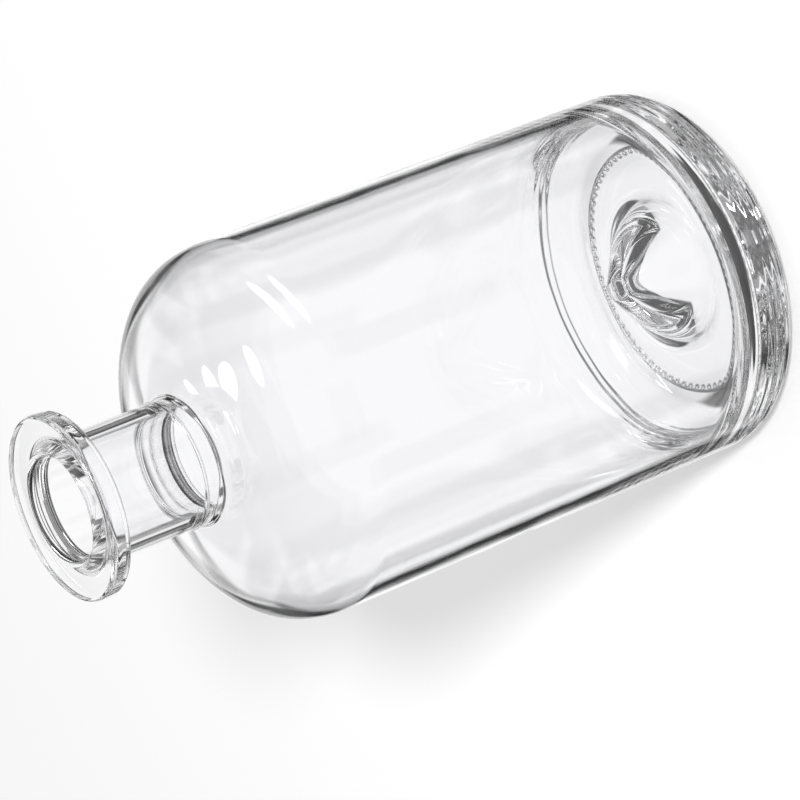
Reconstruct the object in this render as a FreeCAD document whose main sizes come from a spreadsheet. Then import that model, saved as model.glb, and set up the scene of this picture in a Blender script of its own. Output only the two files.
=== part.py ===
"""Half-litre apothecary bottle in clear glass, standing on its base.

The bottle is blown in one piece, so it is one solid: the section of its glass is
drawn once, on one side of the axis, and turned through a full circle.
Frame: +Z along the axis towards the mouth, z = 0 on the bearing ring, millimetres.
"""
import FreeCAD, Part
import math
import os
from types import SimpleNamespace

import Sketcher

# Every size that can be set by itself, in millimetres
SIZES = {
    "overall_height": 168.4,
    "body_diameter": 85.0,
    "body_wall": 2.3,
    # shoulder: a round turn, then a flatter crown that rises to the foot of the neck
    "shoulder_radius": 18.6,
    "crown_rise": 2.7,
    "shoulder_thickening": 2.0,
    "inner_crown_rise": 2.0,
    # neck
    "neck_length": 26.6,
    "neck_diameter": 28.4,
    "neck_foot_radius": 1.2,
    "bore_diameter": 23.4,
    "throat_radius": 3.0,
    # lip: the flat flange round the mouth
    "lip_diameter": 41.5,
    "lip_thickness": 4.6,
    "lip_edge_radius": 1.1,
    "lip_root_radius": 0.9,
    "mouth_edge_radius": 0.8,
    # heel, and the ring that the bottle stands on
    "heel_radius": 8.0,
    "bearing_width": 3.0,
    "bearing_lift": 1.0,
    # punt: the hollow under the base
    "punt_depth": 16.5,
    "punt_crown_radius": 2.5,
    "punt_flare_radius": 7.0,
    "punt_foot_radius": 15.0,
    # push-up: the punt's form seen inside, in heavier glass
    "floor_height": 6.0,
    "floor_corner_radius": 16.0,
    "push_up_height": 21.5,
    "push_up_crown_radius": 4.0,
    "push_up_flare_radius": 6.0,
    "push_up_foot_radius": 21.0,
}

RIGHT = 0.0
UP = math.pi / 2.0
LEFT = math.pi
DOWN = 1.5 * math.pi
ALL_ROUND = 2.0 * math.pi
ALL_ROUND_DEGREES = 360.0

# Names that a sketch gives to its origin, its two axes and the points of a stretch
ORIGIN = (-1, 1)
LEVEL_AXIS = -1
UPRIGHT_AXIS = -2
START, END, CENTRE = 1, 2, 3


def add_sheet(doc):
    """The driving sizes, one row each: the name in column A and the number in column B."""
    sheet = doc.addObject("Spreadsheet::Sheet", "sizes")
    for row, (name, number) in enumerate(SIZES.items(), start=1):
        sheet.set(f"A{row}", name)
        sheet.set(f"B{row}", str(number))
        sheet.setAlias(f"B{row}", name)
    doc.recompute()


def flank_slope(crown_centre, crown_radius, flare_centre, flare_radius):
    """Slope, from the level, of the flank that runs down off a crown and out into a flare."""
    run = flare_centre[0] - crown_centre[0]
    drop = crown_centre[1] - flare_centre[1]
    reach = math.hypot(run, drop)
    return math.atan2(drop, run) + math.asin((crown_radius + flare_radius) / reach)


def crown_arc(shoulder_centre, shoulder_radius, run, rise):
    """The flatter arc that carries a shoulder on until it lies level: centre, radius, first angle."""
    turn = UP - 2.0 * math.atan(rise / run)
    extra = run / math.cos(turn)
    centre = (
        shoulder_centre[0] - extra * math.cos(turn),
        shoulder_centre[1] - extra * math.sin(turn),
    )
    return centre, shoulder_radius + extra, turn


class Outline:
    """A closed outline in a sketch, drawn stretch by stretch, each in line with the one before."""

    def __init__(self, sketch, start):
        self.sketch = sketch
        self.here = start
        self.stretch = {}
        self.last = None

    def fix(self, kind, *what):
        self.sketch.addConstraint(Sketcher.Constraint(kind, *what))

    def add(self, name, shape, near_end, far_end, join):
        index = self.sketch.addGeometry(shape, False)
        self.stretch[name] = index
        if self.last is not None:
            self.fix(join, *self.last, index, near_end)
        self.last = (index, far_end)

    def line(self, name, x, z, direction=None, join="Tangent"):
        """A straight stretch to (x, z), held level or upright where a direction is named."""
        shape = Part.LineSegment(FreeCAD.Vector(*self.here, 0), FreeCAD.Vector(x, z, 0))
        self.add(name, shape, START, END, join)
        if direction:
            self.fix(direction, self.stretch[name])
        self.here = (x, z)

    def arc(self, name, centre, radius, angle_from, angle_to, join="Tangent"):
        """A round stretch about a centre, from one angle to another."""
        circle = Part.Circle(FreeCAD.Vector(*centre, 0), FreeCAD.Vector(0, 0, 1), radius)
        shape = Part.ArcOfCircle(circle, min(angle_from, angle_to), max(angle_from, angle_to))
        ends = (START, END) if angle_to > angle_from else (END, START)
        self.add(name, shape, *ends, join)
        self.here = (
            centre[0] + radius * math.cos(angle_to),
            centre[1] + radius * math.sin(angle_to),
        )

    def point(self, name, which):
        return self.stretch[name], which

    def drawn(self, kind, *what):
        """What a dimension measures on the outline as drawn."""
        if kind == "Radius":
            return self.sketch.Geometry[what[0]].Radius
        near = self.sketch.getPoint(*what[:2])
        far = self.sketch.getPoint(*what[2:])
        return far.x - near.x if kind == "DistanceX" else far.y - near.y

    def size(self, label, kind, *what, to):
        """A named dimension of the sketch, tied to the sheet by a formula."""
        value = self.drawn(kind, *what)
        index = self.sketch.addConstraint(Sketcher.Constraint(kind, *what, value))
        self.sketch.renameConstraint(index, label)
        self.sketch.setExpression(f"Constraints.{label}", to)


def draw_outside(outline, size):
    """From the middle of the punt, out over the base, up the wall and neck, to the mouth."""
    outer = size.body_diameter / 2.0
    neck = size.neck_diameter / 2.0
    rim = size.lip_diameter / 2.0
    bearing_edge = outer - size.heel_radius
    bearing_start = bearing_edge - size.bearing_width
    lip_level = size.overall_height - size.lip_thickness
    crown_level = lip_level - size.neck_length
    shoulder_level = crown_level - size.crown_rise - size.shoulder_radius

    punt_crown = (0.0, size.punt_depth - size.punt_crown_radius)
    punt_flare = (size.punt_foot_radius, size.bearing_lift + size.punt_flare_radius)
    slope = flank_slope(punt_crown, size.punt_crown_radius, punt_flare, size.punt_flare_radius)
    outline.arc("punt_crown", punt_crown, size.punt_crown_radius, UP, UP - slope)
    outline.line(
        "punt_flank",
        punt_flare[0] - size.punt_flare_radius * math.sin(slope),
        punt_flare[1] - size.punt_flare_radius * math.cos(slope),
    )
    outline.arc("punt_flare", punt_flare, size.punt_flare_radius, DOWN - slope, DOWN)
    outline.line("under_base", bearing_start - size.bearing_lift, size.bearing_lift, "Horizontal")
    toe = (bearing_start, size.bearing_lift)
    outline.arc("bearing_toe", toe, size.bearing_lift, LEFT, DOWN, join="Coincident")
    outline.line("bearing_ring", bearing_edge, 0.0, "Horizontal")
    outline.arc("heel", (bearing_edge, size.heel_radius), size.heel_radius, DOWN, ALL_ROUND)
    outline.line("body_outside", outer, shoulder_level, "Vertical")

    shoulder = (outer - size.shoulder_radius, shoulder_level)
    run = shoulder[0] - neck - size.neck_foot_radius
    crown, crown_radius, turn = crown_arc(shoulder, size.shoulder_radius, run, size.crown_rise)
    outline.arc("shoulder", shoulder, size.shoulder_radius, RIGHT, turn)
    outline.arc("crown", crown, crown_radius, turn, UP)
    foot = (neck + size.neck_foot_radius, crown_level + size.neck_foot_radius)
    outline.arc("neck_foot", foot, size.neck_foot_radius, DOWN, LEFT)
    outline.line("neck_outside", neck, lip_level - size.lip_root_radius, "Vertical")
    root = (neck + size.lip_root_radius, lip_level - size.lip_root_radius)
    outline.arc("lip_root", root, size.lip_root_radius, LEFT, UP)
    outline.line("lip_underside", rim - size.lip_edge_radius, lip_level, "Horizontal")
    lower_edge = (rim - size.lip_edge_radius, lip_level + size.lip_edge_radius)
    outline.arc("lip_lower_edge", lower_edge, size.lip_edge_radius, DOWN, ALL_ROUND)
    outline.line("lip_rim", rim, size.overall_height - size.lip_edge_radius, "Vertical")
    upper_edge = (rim - size.lip_edge_radius, size.overall_height - size.lip_edge_radius)
    outline.arc("lip_upper_edge", upper_edge, size.lip_edge_radius, RIGHT, UP)


def draw_inside(outline, size):
    """From the mouth, down the bore and wall, over the floor, to the top of the push-up."""
    bore = size.bore_diameter / 2.0
    inner = size.body_diameter / 2.0 - size.body_wall
    crown_level = size.overall_height - size.lip_thickness - size.neck_length
    shoulder_level = crown_level - size.crown_rise - size.shoulder_radius
    inner_shoulder_radius = size.shoulder_radius - size.body_wall
    shoulder = (inner - inner_shoulder_radius, shoulder_level - size.shoulder_thickening)
    ceiling = shoulder[1] + inner_shoulder_radius + size.inner_crown_rise

    outline.line("lip_top", bore + size.mouth_edge_radius, size.overall_height, "Horizontal")
    edge = (bore + size.mouth_edge_radius, size.overall_height - size.mouth_edge_radius)
    outline.arc("mouth_edge", edge, size.mouth_edge_radius, UP, LEFT)
    outline.line("bore", bore, ceiling + size.throat_radius, "Vertical")
    throat = (bore + size.throat_radius, ceiling + size.throat_radius)
    outline.arc("throat", throat, size.throat_radius, LEFT, DOWN)
    run = shoulder[0] - throat[0]
    crown, crown_radius, turn = crown_arc(
        shoulder, inner_shoulder_radius, run, size.inner_crown_rise
    )
    outline.arc("inner_crown", crown, crown_radius, UP, turn)
    outline.arc("inner_shoulder", shoulder, inner_shoulder_radius, turn, RIGHT)

    corner = (inner - size.floor_corner_radius, size.floor_height + size.floor_corner_radius)
    outline.line("body_inside", inner, corner[1], "Vertical")
    outline.arc("floor_corner", corner, size.floor_corner_radius, ALL_ROUND, DOWN)
    outline.line("floor", size.push_up_foot_radius, size.floor_height, "Horizontal")
    flare = (size.push_up_foot_radius, size.floor_height + size.push_up_flare_radius)
    top = (0.0, size.push_up_height - size.push_up_crown_radius)
    slope = flank_slope(top, size.push_up_crown_radius, flare, size.push_up_flare_radius)
    outline.arc("push_up_flare", flare, size.push_up_flare_radius, DOWN, DOWN - slope)
    outline.line(
        "push_up_flank",
        size.push_up_crown_radius * math.sin(slope),
        top[1] + size.push_up_crown_radius * math.cos(slope),
    )
    outline.arc("push_up_crown", top, size.push_up_crown_radius, UP - slope, UP)
    outline.line("axis", 0.0, size.punt_depth, join="Coincident")


def hold_outline(outline):
    """What the drawing order leaves open: the ends on the axis and the stretches that lie level."""
    point = outline.point
    outline.fix("Coincident", *point("axis", END), *point("punt_crown", END))
    outline.fix("PointOnObject", *point("punt_crown", END), UPRIGHT_AXIS)
    outline.fix("PointOnObject", *point("punt_crown", CENTRE), UPRIGHT_AXIS)
    outline.fix("PointOnObject", *point("push_up_crown", END), UPRIGHT_AXIS)
    outline.fix("PointOnObject", *point("push_up_crown", CENTRE), UPRIGHT_AXIS)
    outline.fix("PointOnObject", *point("bearing_ring", START), LEVEL_AXIS)
    outline.fix("Horizontal", *point("bearing_toe", START), *point("bearing_toe", CENTRE))
    outline.fix("Vertical", *point("neck_foot", END), *point("neck_foot", CENTRE))
    outline.fix("Vertical", *point("throat", END), *point("throat", CENTRE))


def size_outline(outline):
    """Ties the outline to the sheet: radii first, then widths from the axis, then heights."""
    point = outline.point
    radii = {
        "punt_crown": "sizes.punt_crown_radius",
        "punt_flare": "sizes.punt_flare_radius",
        "bearing_toe": "sizes.bearing_lift",
        "heel": "sizes.heel_radius",
        "shoulder": "sizes.shoulder_radius",
        "neck_foot": "sizes.neck_foot_radius",
        "lip_root": "sizes.lip_root_radius",
        "lip_lower_edge": "sizes.lip_edge_radius",
        "lip_upper_edge": "sizes.lip_edge_radius",
        "mouth_edge": "sizes.mouth_edge_radius",
        "throat": "sizes.throat_radius",
        "inner_shoulder": "sizes.shoulder_radius - sizes.body_wall",
        "floor_corner": "sizes.floor_corner_radius",
        "push_up_flare": "sizes.push_up_flare_radius",
        "push_up_crown": "sizes.push_up_crown_radius",
    }
    for name, formula in radii.items():
        outline.size(f"{name}_radius", "Radius", outline.stretch[name], to=formula)

    widths = {
        ("body_outside", START): "sizes.body_diameter / 2",
        ("neck_outside", START): "sizes.neck_diameter / 2",
        ("lip_rim", START): "sizes.lip_diameter / 2",
        ("bore", START): "sizes.bore_diameter / 2",
        ("body_inside", START): "sizes.body_diameter / 2 - sizes.body_wall",
        ("punt_flare", CENTRE): "sizes.punt_foot_radius",
        ("push_up_flare", CENTRE): "sizes.push_up_foot_radius",
    }
    for (name, which), formula in widths.items():
        outline.size(f"{name}_out", "DistanceX", *ORIGIN, *point(name, which), to=formula)
    outline.size(
        "bearing_ring_wide", "DistanceX",
        *point("bearing_ring", START), *point("bearing_ring", END),
        to="sizes.bearing_width",
    )

    heights = {
        ("lip_top", START): "sizes.overall_height",
        ("lip_underside", START): "sizes.overall_height - sizes.lip_thickness",
        ("neck_foot", END): "sizes.overall_height - sizes.lip_thickness - sizes.neck_length",
        ("floor", START): "sizes.floor_height",
        ("push_up_crown", END): "sizes.push_up_height",
        ("punt_crown", END): "sizes.punt_depth",
    }
    for (name, which), formula in heights.items():
        outline.size(f"{name}_up", "DistanceY", *ORIGIN, *point(name, which), to=formula)
    outline.size(
        "shoulder_rise", "DistanceY",
        *point("shoulder", CENTRE), *point("neck_foot", END),
        to="sizes.shoulder_radius + sizes.crown_rise",
    )
    outline.size(
        "shoulder_drop", "DistanceY",
        *point("inner_shoulder", CENTRE), *point("shoulder", CENTRE),
        to="sizes.shoulder_thickening",
    )
    outline.size(
        "inner_shoulder_rise", "DistanceY",
        *point("inner_shoulder", CENTRE), *point("throat", END),
        to="sizes.shoulder_radius - sizes.body_wall + sizes.inner_crown_rise",
    )


def make_bottle(doc):
    """The glass: its section in the XZ plane, turned about Z."""
    body = doc.addObject("PartDesign::Body", "bottle")
    body.Label = "bottle"
    section = body.newObject("Sketcher::SketchObject", "glass_section")
    upright_plane = next(o for o in body.Origin.OriginFeatures if o.Role == "XZ_Plane")
    section.AttachmentSupport = [(upright_plane, "")]
    section.MapMode = "FlatFace"

    size = SimpleNamespace(**SIZES)
    outline = Outline(section, (0.0, size.punt_depth))
    draw_outside(outline, size)
    draw_inside(outline, size)
    hold_outline(outline)
    size_outline(outline)
    doc.recompute()

    turned = body.newObject("PartDesign::Revolution", "turned_glass")
    turned.Profile = section
    turned.ReferenceAxis = (section, ["V_Axis"])
    turned.Angle = ALL_ROUND_DEGREES
    body.Tip = turned
    doc.recompute()
    return body


def check(doc, bodies):
    """Stops before anything is written if an object failed or a solid isn't whole."""
    for thing in doc.Objects:
        if {"Invalid", "Error"} & set(thing.State):
            raise RuntimeError(f"{thing.Name}: {thing.State}")
    for body in bodies:
        if body.Shape.isNull() or not body.Shape.isValid() or len(body.Shape.Solids) != 1:
            raise RuntimeError(f"{body.Label} is not one sound solid")


doc = FreeCAD.newDocument("apothecary_bottle")
add_sheet(doc)
bodies = [make_bottle(doc)]
check(doc, bodies)
os.makedirs("parts", exist_ok=True)
for body in bodies:
    body.Shape.exportStep(f"parts/{body.Label}.step")
    glass = body.Shape
    print(body.Label, "volume cm3", round(glass.Volume / 1000.0, 2), glass.BoundBox)
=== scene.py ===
"""Apothecary bottle of clear glass: the finished look of the modelled part, on a pale floor."""
import math
from types import SimpleNamespace

import bpy
from mathutils import Matrix, Vector


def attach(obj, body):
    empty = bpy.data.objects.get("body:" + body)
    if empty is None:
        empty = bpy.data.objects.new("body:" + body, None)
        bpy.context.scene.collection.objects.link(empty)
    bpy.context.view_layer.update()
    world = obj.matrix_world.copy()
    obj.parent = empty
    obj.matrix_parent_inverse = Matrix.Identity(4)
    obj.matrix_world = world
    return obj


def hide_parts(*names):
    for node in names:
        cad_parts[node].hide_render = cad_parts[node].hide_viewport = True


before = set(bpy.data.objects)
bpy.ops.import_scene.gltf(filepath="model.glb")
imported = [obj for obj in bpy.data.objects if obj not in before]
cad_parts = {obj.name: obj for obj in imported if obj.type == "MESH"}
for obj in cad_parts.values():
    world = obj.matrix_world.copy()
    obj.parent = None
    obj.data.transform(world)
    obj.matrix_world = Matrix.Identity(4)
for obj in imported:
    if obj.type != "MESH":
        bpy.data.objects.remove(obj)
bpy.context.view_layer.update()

MM = 0.001
UP, RIGHT, LEFT = math.pi / 2.0, 0.0, math.pi

# The glass's sizes, in millimetres. They are the solid's, apart from four small forms that are drawn
# fuller here: shoulder_thickening, neck_bead, lip_root_radius and mouth_edge_radius.
GLASS = SimpleNamespace(
    overall_height=168.4,
    body_diameter=85.0,
    body_wall=2.3,
    shoulder_radius=18.6,
    crown_rise=2.7,
    shoulder_thickening=2.8,
    inner_crown_rise=2.0,
    neck_length=26.6,
    neck_diameter=28.4,
    neck_foot_radius=1.2,
    neck_bead=0.35,
    neck_bead_up=2.4,
    bore_diameter=23.4,
    throat_radius=3.0,
    lip_diameter=41.5,
    lip_thickness=4.6,
    lip_edge_radius=1.1,
    lip_root_radius=2.0,
    mouth_edge_radius=1.3,
    heel_radius=8.0,
    bearing_width=3.0,
    bearing_lift=1.0,
    punt_depth=16.5,
    punt_crown_radius=2.5,
    punt_flare_radius=7.0,
    punt_foot_radius=15.0,
    floor_height=6.0,
    floor_corner_radius=16.0,
    push_up_height=21.5,
    push_up_crown_radius=4.0,
    push_up_flare_radius=6.0,
    push_up_foot_radius=21.0,
)

# The rounded step inside the bearing ring: its radius in millimetres, and how far round the ring's
# own arc starts, in radians
TOE_STEP = 0.3
TOE_TURN = 0.15

# How finely the outline is drawn and turned. Two of its points that lie nearer than SAME_POINT, in
# millimetres, are one, and so are points of the turned glass within SEAM.
ARC_STEP = math.radians(6.0)
FINE_STEP = ARC_STEP / 2.0
COARSE_STEP = ARC_STEP * 3.0
SAME_POINT = 0.01
FACES_ROUND_AXIS = 256
SEAM = 0.002 * MM

# The row of small bumps under the base, just inside the ring that the bottle stands on
BUMPS = 74
BUMP_RING_RADIUS = 29.4 * MM
BUMP_WIDTH = 1.7 * MM
BUMP_HEIGHT = 1.1 * MM

# The glass's surface. Its slow waves are about 18 mm long. The ripples on the heel are 2.2 mm from
# crest to crest, drawn out five times round the axis, and 1.4 times as high as the waves. They fade
# in downwards between two heights and outwards between two radii.
WAVE_LENGTH = 1.0 / 55.0
RIPPLE_SPACING = 2.2 * MM
RIPPLE_DRAWN_OUT = 5.0
RIPPLE_HEIGHT = 1.4
RIPPLE_TOP, RIPPLE_FULL = 14.0 * MM, 8.0 * MM
RIPPLE_INSIDE, RIPPLE_OUTSIDE = 35.0 * MM, 38.0 * MM
RELIEF = 0.1 * MM
# Light runs far along the inside of a glass wall, so it is followed through many reflections
GLASS_BOUNCES = 32

# The camera, as the photograph was taken: the bottle lies across the picture, mouth low
LENS = 195.5
SENSOR = 36.0
LEANS_TO_CAMERA = math.radians(29.89)
TURN_IN_PICTURE = math.radians(21.71)
BASE_SEEN_FROM_CAMERA = Vector((64.56, 31.00, -991.54)) * MM
CAMERA_AZIMUTH = math.radians(234.0)
NEAREST, FARTHEST = 0.05, 20.0

# The floor, in metres: half its side, and where the paper with the shadow begins and ends its change
# to plain white. A glow, which only the camera sees, lifts the lit paper to white.
FLOOR_REACH = 4.0
PAPER_ENDS, WHITE_STARTS = 0.35, 1.2
PAPER_GLOW = 0.28

# How strongly the surround lights the paper, beside the softboxes
SURROUND_LIGHT = 0.5

# The direction that the camera looks in, as an azimuth, and the half height of a panel that reaches
# from straight below to straight above
AHEAD = 54.0
FULL = 90.0

# Dark panels of the surround: azimuth, half width, elevation, half height and soft edge in degrees,
# and brightness
PANELS = [
    # Tall ones, which draw the lines along both sides of the body and fainter ones beside them
    (AHEAD - 38.0, 9.0, 0.0, FULL, 5.0, 0.03),
    (AHEAD + 33.0, 8.0, 0.0, FULL, 5.0, 0.03),
    (AHEAD - 68.0, 6.0, 0.0, FULL, 6.0, 0.45),
    (AHEAD + 62.0, 6.0, 0.0, FULL, 6.0, 0.45),
    (AHEAD - 98.0, 8.0, 0.0, FULL, 8.0, 0.30),
    (AHEAD + 98.0, 6.0, 0.0, FULL, 6.0, 0.20),
    # Level with the bottle, on its far side
    (AHEAD, 32.0, 2.0, 5.0, 5.0, 0.06),
    # High up, on the far side and to both sides
    (AHEAD - 86.0, 20.0, 34.0, 18.0, 4.0, 0.02),
    (AHEAD + 8.0, 70.0, 66.0, 14.0, 4.0, 0.02),
    (AHEAD, 14.0, 34.0, 5.0, 5.0, 0.30),
    (AHEAD + 96.0, 24.0, 40.0, 16.0, 4.0, 0.02),
    # Level with the bottle, to both sides
    (AHEAD - 60.0, 12.0, 0.0, 12.0, 5.0, 0.04),
    (AHEAD + 50.0, 12.0, 2.0, 12.0, 5.0, 0.04),
    # Almost straight below
    (AHEAD, 40.0, -76.0, 6.0, 3.0, 0.05),
    # Faint ones on the camera's side, for the bottle's edges as other views see them
    (AHEAD + 133.0, 6.0, -24.0, 5.0, 3.0, 0.50),
    (AHEAD - 151.0, 6.0, -24.0, 5.0, 3.0, 0.50),
    (AHEAD + 171.0, 14.0, 0.0, 8.0, 5.0, 0.50),
]

# Softboxes: name, azimuth and elevation in degrees, distance, width and height in metres, watts. The
# key lights the paper and casts the shadow. The others show in the glass as soft highlights.
SOFTBOXES = [
    ("key_softbox", 242.0, 34.0, 1.3, 0.16, 0.16, 15.0),
    ("long_softbox", 300.0, 2.5, 1.0, 0.75, 0.17, 1.3),
    ("high_softbox", 47.0, 40.0, 1.2, 0.18, 0.14, 0.25),
    ("top_softbox", 10.0, 66.0, 1.2, 0.36, 0.24, 0.9),
]
LAMPS_AIM = Vector((0.0, 0.0, 0.12))


def linear(hex_colour):
    """An sRGB hex colour as the four linear numbers that a shader takes."""
    parts = [int(hex_colour[i:i + 2], 16) / 255.0 for i in (1, 3, 5)]
    turned = [p / 12.92 if p <= 0.04045 else ((p + 0.055) / 1.055) ** 2.4 for p in parts]
    return (*turned, 1.0)


def direction(azimuth, elevation=0.0):
    """Where an azimuth and an elevation in degrees point; at 0 and 0 that is the front, -Y."""
    a, e = math.radians(azimuth), math.radians(elevation)
    return math.sin(a) * math.cos(e), -math.cos(a) * math.cos(e), math.sin(e)


def placed(name, data):
    """A new object of the scene, at the origin."""
    made = bpy.data.objects.new(name, data)
    bpy.context.scene.collection.objects.link(made)
    return made


def empty_tree(owner):
    """The node tree of a material or a world, cleared."""
    owner.use_nodes = True
    owner.node_tree.nodes.clear()
    return owner.node_tree


def add(tree, kind, links=(), **settings):
    """One node: its settings, its inputs by name or number, and what is linked into them."""
    node = tree.nodes.new(kind)
    values = settings.pop("values", {})
    for name, value in settings.items():
        setattr(node, name, value)
    for socket, value in values.items():
        node.inputs[socket].default_value = value
    for socket, source in dict(links).items():
        tree.links.new(source, node.inputs[socket])
    return node


# The outline of the glass


def flank_slope(crown, crown_radius, flare, flare_radius):
    """The slope of the straight flank that joins a crown's arc to the flare at its foot."""
    run, drop = flare[0] - crown[0], crown[1] - flare[1]
    reach = math.hypot(run, drop)
    return math.atan2(drop, run) + math.asin((crown_radius + flare_radius) / reach)


def crown_arc(shoulder, radius, run, rise):
    """The wide arc over a shoulder, to the neck: its centre, its radius and where it starts."""
    turn = UP - 2.0 * math.atan(rise / run)
    extra = run / math.cos(turn)
    centre = (shoulder[0] - extra * math.cos(turn), shoulder[1] - extra * math.sin(turn))
    return centre, radius + extra, turn


class Outline:
    """Half of the glass's cross-section, drawn from the punt's middle round to the inside floor's."""

    def __init__(self, r, z):
        self.points = [(r, z)]

    def to(self, r, z, parts=1):
        """A straight stretch to a point, in equal parts."""
        r0, z0 = self.points[-1]
        for i in range(1, parts + 1):
            self.points.append((r0 + (r - r0) * i / parts, z0 + (z - z0) * i / parts))

    def arc(self, centre, radius, first, last, step=ARC_STEP):
        """An arc from one angle to another, in at least four parts."""
        self.join(centre[0] + radius * math.cos(first), centre[1] + radius * math.sin(first))
        parts = max(4, math.ceil(abs(last - first) / step))
        for i in range(1, parts + 1):
            angle = first + (last - first) * i / parts
            self.points.append(
                (centre[0] + radius * math.cos(angle), centre[1] + radius * math.sin(angle))
            )

    def join(self, r, z):
        """Carries on to a stretch's first point, unless the outline is already there."""
        r0, z0 = self.points[-1]
        if math.hypot(r - r0, z - z0) > SAME_POINT:
            self.points.append((r, z))


def glass_outline(s):
    """The outline in metres: up the outside to the lip, then down the inside to the push-up."""
    outer, neck, rim = s.body_diameter / 2, s.neck_diameter / 2, s.lip_diameter / 2
    bore, inner = s.bore_diameter / 2, outer - s.body_wall
    lip_level = s.overall_height - s.lip_thickness
    crown_level = lip_level - s.neck_length
    shoulder_level = crown_level - s.crown_rise - s.shoulder_radius
    line = Outline(0.0, s.punt_depth)

    crown = (0.0, s.punt_depth - s.punt_crown_radius)
    flare = (s.punt_foot_radius, s.bearing_lift + s.punt_flare_radius)
    slope = flank_slope(crown, s.punt_crown_radius, flare, s.punt_flare_radius)
    line.arc(crown, s.punt_crown_radius, UP, UP - slope)
    line.arc(flare, s.punt_flare_radius, -UP - slope, -UP)
    edge = outer - s.heel_radius
    toe = (edge - s.bearing_width, s.bearing_lift)
    step = (toe[0] - s.bearing_lift - TOE_STEP, s.bearing_lift - TOE_STEP)
    line.to(step[0], s.bearing_lift, 3)
    line.arc(step, TOE_STEP, UP, RIGHT, COARSE_STEP)
    line.arc(toe, s.bearing_lift, LEFT + TOE_TURN, LEFT + UP)
    line.to(edge, 0.0, 2)
    line.arc((edge, s.heel_radius), s.heel_radius, -UP, RIGHT)
    line.to(outer, shoulder_level, 3)
    shoulder = (outer - s.shoulder_radius, shoulder_level)
    run = shoulder[0] - neck - s.neck_foot_radius
    crown, crown_radius, turn = crown_arc(shoulder, s.shoulder_radius, run, s.crown_rise)
    line.arc(shoulder, s.shoulder_radius, RIGHT, turn)
    line.arc(crown, crown_radius, turn, UP, FINE_STEP)
    foot = (neck + s.neck_foot_radius, crown_level + s.neck_foot_radius)
    line.arc(foot, s.neck_foot_radius, -UP, -LEFT)
    bead = foot[1] + s.neck_bead_up
    line.to(neck, bead - 2.0 * s.neck_bead)
    line.arc((neck, bead), s.neck_bead, -UP, UP, COARSE_STEP)
    line.to(neck, bead + 2.0 * s.neck_bead)
    root, lip_edge, mouth_edge = s.lip_root_radius, s.lip_edge_radius, s.mouth_edge_radius
    line.to(neck, lip_level - root, 2)
    line.arc((neck + root, lip_level - root), root, LEFT, UP)
    line.to(rim - lip_edge, lip_level, 2)
    line.arc((rim - lip_edge, lip_level + lip_edge), lip_edge, -UP, RIGHT)
    line.arc((rim - lip_edge, s.overall_height - lip_edge), lip_edge, RIGHT, UP)

    line.to(bore + mouth_edge, s.overall_height, 2)
    line.arc((bore + mouth_edge, s.overall_height - mouth_edge), mouth_edge, UP, LEFT)
    inner_radius = s.shoulder_radius - s.body_wall
    shoulder = (inner - inner_radius, shoulder_level - s.shoulder_thickening)
    ceiling = shoulder[1] + inner_radius + s.inner_crown_rise
    throat = (bore + s.throat_radius, ceiling + s.throat_radius)
    line.arc(throat, s.throat_radius, LEFT, LEFT + UP)
    run = shoulder[0] - throat[0]
    crown, crown_radius, turn = crown_arc(shoulder, inner_radius, run, s.inner_crown_rise)
    line.arc(crown, crown_radius, UP, turn, FINE_STEP)
    line.arc(shoulder, inner_radius, turn, RIGHT)
    corner = (inner - s.floor_corner_radius, s.floor_height + s.floor_corner_radius)
    line.to(inner, corner[1], 3)
    line.arc(corner, s.floor_corner_radius, RIGHT, -UP)
    line.to(s.push_up_foot_radius, s.floor_height, 2)
    flare = (s.push_up_foot_radius, s.floor_height + s.push_up_flare_radius)
    top = (0.0, s.push_up_height - s.push_up_crown_radius)
    slope = flank_slope(top, s.push_up_crown_radius, flare, s.push_up_flare_radius)
    line.arc(flare, s.push_up_flare_radius, -UP, -UP - slope)
    line.arc(top, s.push_up_crown_radius, UP - slope, UP)
    return [(max(r, 0.0) * MM, z * MM) for r, z in line.points]


# Geometry trees


def named_input(tree, name, kind, value=None):
    """Gives a tree an input, with a starting value where it has one."""
    socket = tree.interface.new_socket(name=name, in_out="INPUT", socket_type=kind)
    if value is not None:
        socket.default_value = value


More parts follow.
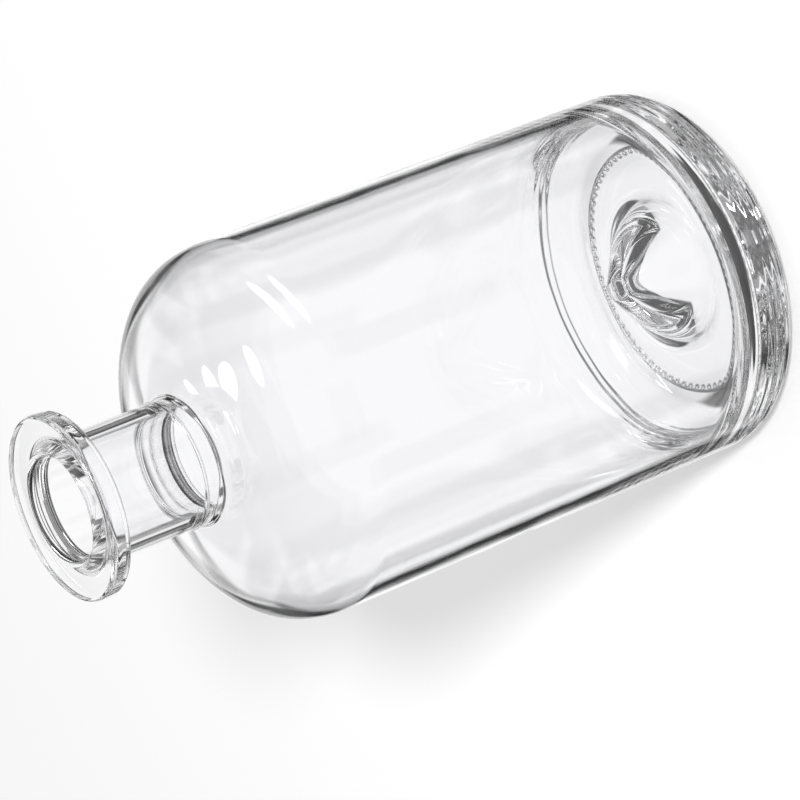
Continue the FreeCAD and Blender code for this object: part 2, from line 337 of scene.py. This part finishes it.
def turned_tree():
    """Turns an outline, drawn as edges in the XZ plane, through a full circle about Z."""
    tree = bpy.data.node_groups.new("turned_on_axis", "GeometryNodeTree")
    named_input(tree, "Outline", "NodeSocketGeometry")
    named_input(tree, "Faces round axis", "NodeSocketInt", FACES_ROUND_AXIS)
    named_input(tree, "Seam", "NodeSocketFloat", SEAM)
    named_input(tree, "Glass", "NodeSocketMaterial")
    tree.interface.new_socket(name="Turned", in_out="OUTPUT", socket_type="NodeSocketGeometry")
    given = add(tree, "NodeGroupInput")
    count = add(tree, "GeometryNodeAttributeDomainSize", {"Geometry": given.outputs["Outline"]})
    stations = count.outputs["Point Count"]
    faces_round = given.outputs["Faces round axis"]
    rows = add(tree, "ShaderNodeMath", {0: faces_round}, operation="ADD", values={1: 1.0})
    grid = add(tree, "GeometryNodeMeshGrid", {"Vertices X": rows.outputs[0], "Vertices Y": stations})
    index = add(tree, "GeometryNodeInputIndex")
    share = add(tree, "ShaderNodeMath", {0: index.outputs[0], 1: stations}, operation="DIVIDE")
    row = add(tree, "ShaderNodeMath", {0: share.outputs[0]}, operation="FLOOR")
    before = add(tree, "ShaderNodeMath", {0: row.outputs[0], 1: stations}, operation="MULTIPLY")
    station = add(
        tree, "ShaderNodeMath", {0: index.outputs[0], 1: before.outputs[0]}, operation="SUBTRACT"
    )
    place = add(tree, "GeometryNodeInputPosition")
    drawn = add(
        tree, "GeometryNodeSampleIndex",
        {
            "Geometry": given.outputs["Outline"],
            "Value": place.outputs[0],
            "Index": station.outputs[0],
        },
        data_type="FLOAT_VECTOR", domain="POINT",
    )
    turn = add(tree, "ShaderNodeMath", {0: row.outputs[0], 1: faces_round}, operation="DIVIDE")
    angle = add(
        tree, "ShaderNodeMath", {0: turn.outputs[0]}, operation="MULTIPLY", values={1: math.tau}
    )
    turned = add(
        tree, "ShaderNodeVectorRotate", {"Vector": drawn.outputs[0], "Angle": angle.outputs[0]},
        rotation_type="Z_AXIS",
    )
    moved = add(
        tree, "GeometryNodeSetPosition",
        {"Geometry": grid.outputs["Mesh"], "Position": turned.outputs[0]},
    )
    closed = add(
        tree, "GeometryNodeMergeByDistance",
        {"Geometry": moved.outputs[0], "Distance": given.outputs["Seam"]},
    )
    smooth = add(tree, "GeometryNodeSetShadeSmooth", {"Geometry": closed.outputs[0]})
    whole = add(tree, "GeometryNodeRealizeInstances", {"Geometry": smooth.outputs[0]})
    glazed = add(
        tree, "GeometryNodeSetMaterial",
        {"Geometry": whole.outputs[0], "Material": given.outputs["Glass"]},
    )
    result = add(tree, "NodeGroupOutput")
    tree.links.new(glazed.outputs[0], result.inputs[0])
    return tree


def ring_of_bumps_tree():
    """Sets one rounded bump at every corner of a ring, which is the start mesh."""
    tree = bpy.data.node_groups.new("ring_of_bumps", "GeometryNodeTree")
    named_input(tree, "Ring", "NodeSocketGeometry")
    named_input(tree, "Bump width", "NodeSocketFloat", BUMP_WIDTH)
    named_input(tree, "Bump height", "NodeSocketFloat", BUMP_HEIGHT)
    named_input(tree, "Glass", "NodeSocketMaterial")
    tree.interface.new_socket(name="Bumps", in_out="OUTPUT", socket_type="NodeSocketGeometry")
    given = add(tree, "NodeGroupInput")
    # A ball of one metre across, so that its scale is the bump's size
    ball = add(
        tree, "GeometryNodeMeshUVSphere", values={"Segments": 20, "Rings": 12, "Radius": 0.5}
    )
    width = given.outputs["Bump width"]
    size = add(
        tree, "ShaderNodeCombineXYZ", {"X": width, "Y": width, "Z": given.outputs["Bump height"]}
    )
    bumps = add(
        tree, "GeometryNodeInstanceOnPoints",
        {
            "Points": given.outputs["Ring"],
            "Instance": ball.outputs["Mesh"],
            "Scale": size.outputs[0],
        },
    )
    whole = add(tree, "GeometryNodeRealizeInstances", {"Geometry": bumps.outputs[0]})
    smooth = add(tree, "GeometryNodeSetShadeSmooth", {"Geometry": whole.outputs[0]})
    glazed = add(
        tree, "GeometryNodeSetMaterial",
        {"Geometry": smooth.outputs[0], "Material": given.outputs["Glass"]},
    )
    result = add(tree, "NodeGroupOutput")
    tree.links.new(glazed.outputs[0], result.inputs[0])
    return tree


def made_by(tree, start, name, **inputs):
    """Runs a tree on a start mesh and keeps what it makes as a plain mesh."""
    carrier = placed(name, start)
    modifier = carrier.modifiers.new("made", "NODES")
    modifier.node_group = tree
    sockets = {s.name: s.identifier for s in tree.interface.items_tree if s.in_out == "INPUT"}
    for label, value in inputs.items():
        modifier[sockets[label.replace("_", " ")]] = value
    evaluated = carrier.evaluated_get(bpy.context.evaluated_depsgraph_get())
    mesh = bpy.data.meshes.new_from_object(evaluated)
    if mesh.materials and mesh.materials[0] is None:
        mesh.materials.pop(index=0)
    carrier.modifiers.remove(modifier)
    carrier.data = mesh
    mesh.name = name
    return carrier


# The meshes that the trees start from


def outline_mesh(points):
    """The outline as a chain of edges in the XZ plane."""
    mesh = bpy.data.meshes.new("outline")
    mesh.from_pydata(
        [(r, 0.0, z) for r, z in points], [(i, i + 1) for i in range(len(points) - 1)], []
    )
    return mesh


def ring_mesh(count, radius, z):
    """Loose points in a level ring."""
    turns = [math.tau * i / count for i in range(count)]
    mesh = bpy.data.meshes.new("ring")
    mesh.from_pydata([(radius * math.cos(a), radius * math.sin(a), z) for a in turns], [], [])
    return mesh


# Materials


def soda_lime_glass():
    """Clear soda-lime glass, blown in a mould and fire polished: a hard gloss over slow waves.

    The heel met the cold mould first, so its outside has level chill ripples, which break up the
    light there into streaks.
    """
    material = bpy.data.materials.new("soda_lime_glass_fire_polished")
    tree = empty_tree(material)
    place = add(tree, "ShaderNodeTexCoord").outputs["Object"]
    waves = add(
        tree, "ShaderNodeTexNoise", {"Vector": place},
        values={"Scale": 1.0 / WAVE_LENGTH, "Detail": 2.0, "Roughness": 0.4},
    )
    drawn_out = add(
        tree, "ShaderNodeVectorMath", {0: place}, operation="MULTIPLY",
        values={1: (1.0 / RIPPLE_DRAWN_OUT, 1.0 / RIPPLE_DRAWN_OUT, 1.0)},
    )
    # At scale 1 this texture repeats every tau / 20 metres
    ripple = add(
        tree, "ShaderNodeTexWave", {"Vector": drawn_out.outputs[0]}, bands_direction="Z",
        values={
            "Scale": math.tau / 20.0 / RIPPLE_SPACING,
            "Distortion": 4.0,
            "Detail": 1.0,
            "Detail Scale": 0.5,
        },
    )
    split = add(tree, "ShaderNodeSeparateXYZ", {"Vector": place})
    low = add(
        tree, "ShaderNodeMapRange", {"Value": split.outputs["Z"]},
        values={"From Min": RIPPLE_TOP, "From Max": RIPPLE_FULL}, interpolation_type="SMOOTHSTEP",
    )
    level = add(
        tree, "ShaderNodeVectorMath", {0: place}, operation="MULTIPLY", values={1: (1.0, 1.0, 0.0)}
    )
    radius = add(tree, "ShaderNodeVectorMath", {0: level.outputs[0]}, operation="LENGTH")
    outside = add(
        tree, "ShaderNodeMapRange", {"Value": radius.outputs["Value"]},
        values={"From Min": RIPPLE_INSIDE, "From Max": RIPPLE_OUTSIDE},
        interpolation_type="SMOOTHSTEP",
    )
    heel = add(
        tree, "ShaderNodeMath", {0: low.outputs[0], 1: outside.outputs[0]}, operation="MULTIPLY"
    )
    heel_ripple = add(
        tree, "ShaderNodeMath", {0: ripple.outputs["Fac"], 1: heel.outputs[0]}, operation="MULTIPLY"
    )
    relief = add(
        tree, "ShaderNodeMath", {0: heel_ripple.outputs[0], 2: waves.outputs[0]},
        operation="MULTIPLY_ADD", values={1: RIPPLE_HEIGHT},
    )
    bump = add(
        tree, "ShaderNodeBump", {"Height": relief.outputs[0]},
        values={"Strength": 0.5, "Distance": RELIEF},
    )
    glass = add(
        tree, "ShaderNodeBsdfPrincipled", {"Normal": bump.outputs[0]},
        values={
            "Base Color": linear("#FCFCFD"),
            "Roughness": 0.0,
            "IOR": 1.5,
            "Transmission Weight": 1.0,
        },
    )
    add(tree, "ShaderNodeOutputMaterial", {"Surface": glass.outputs[0]})
    return material


def in_glass(tree, path):
    """1 for a ray that shows its surroundings in a gloss or through glass."""
    return add(
        tree, "ShaderNodeMath",
        {0: path.outputs["Is Glossy Ray"], 1: path.outputs["Is Transmission Ray"]},
        operation="MAXIMUM",
    )


def floor_material():
    """Matt white paper: pale all over, with the bottle's shadow on it."""
    material = bpy.data.materials.new("white_paper_floor")
    tree = empty_tree(material)
    path = add(tree, "ShaderNodeLightPath")
    through = in_glass(tree, path)
    place = add(tree, "ShaderNodeTexCoord")
    reach = add(tree, "ShaderNodeVectorMath", {0: place.outputs["Object"]}, operation="LENGTH")
    far = add(
        tree, "ShaderNodeMapRange", {"Value": reach.outputs["Value"]},
        values={"From Min": PAPER_ENDS, "From Max": WHITE_STARTS},
    )
    from_camera = add(
        tree, "ShaderNodeMath", {0: path.outputs["Is Camera Ray"], 1: far.outputs[0]},
        operation="MULTIPLY",
    )
    plain = add(
        tree, "ShaderNodeMath", {0: through.outputs[0], 1: from_camera.outputs[0]},
        operation="MAXIMUM",
    )
    paper = add(tree, "ShaderNodeBsdfDiffuse", values={"Color": linear("#E6E6E6")})
    glow = add(tree, "ShaderNodeEmission", values={"Strength": PAPER_GLOW})
    lit = add(tree, "ShaderNodeAddShader", {0: paper.outputs[0], 1: glow.outputs[0]})
    white = add(tree, "ShaderNodeEmission", values={"Strength": 1.0})
    seen = add(
        tree, "ShaderNodeMixShader",
        {0: path.outputs["Is Camera Ray"], 1: paper.outputs[0], 2: lit.outputs[0]},
    )
    mixed = add(
        tree, "ShaderNodeMixShader",
        {0: plain.outputs[0], 1: seen.outputs[0], 2: white.outputs[0]},
    )
    add(tree, "ShaderNodeOutputMaterial", {"Surface": mixed.outputs[0]})
    return material


# The studio


def dark_panel(tree, level, height, panel):
    """How bright the surround is where one soft-edged dark panel stands in it; 1 beside the panel."""
    azimuth, half_width, elevation, half_height, edge, brightness = panel
    facing = add(
        tree, "ShaderNodeVectorMath", {0: level}, operation="DOT_PRODUCT",
        values={1: direction(azimuth)},
    )
    across = add(
        tree, "ShaderNodeMapRange", {"Value": facing.outputs["Value"]},
        values={
            "From Min": math.cos(math.radians(half_width + edge)),
            "From Max": math.cos(math.radians(half_width)),
        },
        interpolation_type="SMOOTHSTEP",
    )
    off = add(
        tree, "ShaderNodeMath", {0: height}, operation="SUBTRACT",
        values={1: math.sin(math.radians(elevation))},
    )
    away = add(tree, "ShaderNodeMath", {0: off.outputs[0]}, operation="ABSOLUTE")
    reach = math.sin(math.radians(half_height))
    upright = add(
        tree, "ShaderNodeMapRange", {"Value": away.outputs[0]},
        values={"From Min": reach + math.sin(math.radians(edge)), "From Max": reach},
        interpolation_type="SMOOTHSTEP",
    )
    both = add(
        tree, "ShaderNodeMath", {0: across.outputs[0], 1: upright.outputs[0]}, operation="MULTIPLY"
    )
    return add(
        tree, "ShaderNodeMapRange", {"Value": both.outputs[0]},
        values={"To Min": 1.0, "To Max": brightness},
    ).outputs[0]


def studio():
    """A white surround with soft dark panels in it, which draw the glass's edges as dark lines."""
    world = bpy.data.worlds.new("white_studio")
    bpy.context.scene.world = world
    tree = empty_tree(world)
    path = add(tree, "ShaderNodeLightPath")
    shown = in_glass(tree, path)
    way = add(tree, "ShaderNodeTexCoord").outputs["Generated"]
    flat = add(
        tree, "ShaderNodeVectorMath", {0: way}, operation="MULTIPLY", values={1: (1.0, 1.0, 0.0)}
    )
    level = add(tree, "ShaderNodeVectorMath", {0: flat.outputs[0]}, operation="NORMALIZE")
    split = add(tree, "ShaderNodeSeparateXYZ", {"Vector": way})
    shade = None
    for panel in PANELS:
        dark = dark_panel(tree, level.outputs[0], split.outputs["Z"], panel)
        shade = dark if shade is None else add(
            tree, "ShaderNodeMath", {0: shade, 1: dark}, operation="MINIMUM"
        ).outputs[0]
    white_paint = linear("#FFFFFF")
    surround = add(
        tree, "ShaderNodeBackground", {"Strength": shade}, values={"Color": white_paint}
    )
    lighting = add(
        tree, "ShaderNodeBackground", values={"Color": white_paint, "Strength": SURROUND_LIGHT}
    )
    white = add(tree, "ShaderNodeBackground", values={"Color": white_paint, "Strength": 1.0})
    glassy = add(
        tree, "ShaderNodeMixShader",
        {0: shown.outputs[0], 1: lighting.outputs[0], 2: surround.outputs[0]},
    )
    final = add(
        tree, "ShaderNodeMixShader",
        {0: path.outputs["Is Camera Ray"], 1: glassy.outputs[0], 2: white.outputs[0]},
    )
    add(tree, "ShaderNodeOutputWorld", {"Surface": final.outputs[0]})


def softbox(name, azimuth, elevation, distance, width, height, watts):
    """An oval softbox that faces the upper part of the bottle."""
    back = Vector(direction(azimuth, elevation))
    lamp = bpy.data.lights.new(name, "AREA")
    lamp.shape, lamp.size, lamp.size_y, lamp.energy = "ELLIPSE", width, height, watts
    holder = placed(name, lamp)
    holder.location = LAMPS_AIM + back * distance
    holder.rotation_euler = (-back).to_track_quat("-Z", "Y").to_euler()
    return holder


def place_camera():
    """Sets the camera so that the bottle falls where it does in the photograph."""
    tilt, turn = LEANS_TO_CAMERA, TURN_IN_PICTURE
    axis = Vector(
        (-math.cos(tilt) * math.cos(turn), -math.cos(tilt) * math.sin(turn), math.sin(tilt))
    )
    to_camera = -BASE_SEEN_FROM_CAMERA.normalized()
    level = (to_camera - axis * to_camera.dot(axis)).normalized()
    across = axis.cross(level)
    x_axis = level * math.sin(CAMERA_AZIMUTH) + across * math.cos(CAMERA_AZIMUTH)
    y_axis = across * math.sin(CAMERA_AZIMUTH) - level * math.cos(CAMERA_AZIMUTH)
    turned = Matrix((x_axis, y_axis, axis))
    camera = placed("camera", bpy.data.cameras.new("camera"))
    camera.data.lens = LENS
    camera.data.sensor_width = SENSOR
    camera.data.clip_start, camera.data.clip_end = NEAREST, FARTHEST
    camera.matrix_world = Matrix.Translation(turned @ -BASE_SEEN_FROM_CAMERA) @ turned.to_4x4()
    bpy.context.scene.camera = camera


# The bottle

glass = soda_lime_glass()
bottle_glass = made_by(
    turned_tree(), outline_mesh(glass_outline(GLASS)), "bottle_glass",
    Faces_round_axis=FACES_ROUND_AXIS, Glass=glass,
)
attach(bottle_glass, "root")
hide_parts("bottle")

bump_ring = ring_mesh(BUMPS, BUMP_RING_RADIUS, GLASS.bearing_lift * MM)
bumps = made_by(
    ring_of_bumps_tree(), bump_ring, "base_stipple",
    Bump_width=BUMP_WIDTH, Bump_height=BUMP_HEIGHT, Glass=glass,
)
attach(bumps, "root")

# The floor, the studio and the camera

far, near = FLOOR_REACH, -FLOOR_REACH
floor_mesh = bpy.data.meshes.new("floor")
floor_mesh.from_pydata(
    [(near, near, 0.0), (far, near, 0.0), (far, far, 0.0), (near, far, 0.0)], [], [(0, 1, 2, 3)]
)
floor_mesh.materials.append(floor_material())
floor = placed("floor", floor_mesh)
# The glass shows the white surround in the floor's place
floor.visible_transmission = floor.visible_glossy = False

studio()
lamps = {box[0]: softbox(*box) for box in SOFTBOXES}
key = lamps["key_softbox"]
key.visible_glossy = key.visible_transmission = False
place_camera()
bpy.context.scene.view_settings.view_transform = "Standard"
cycles = bpy.context.scene.cycles
cycles.max_bounces = cycles.transmission_bounces = cycles.glossy_bounces = GLASS_BOUNCES
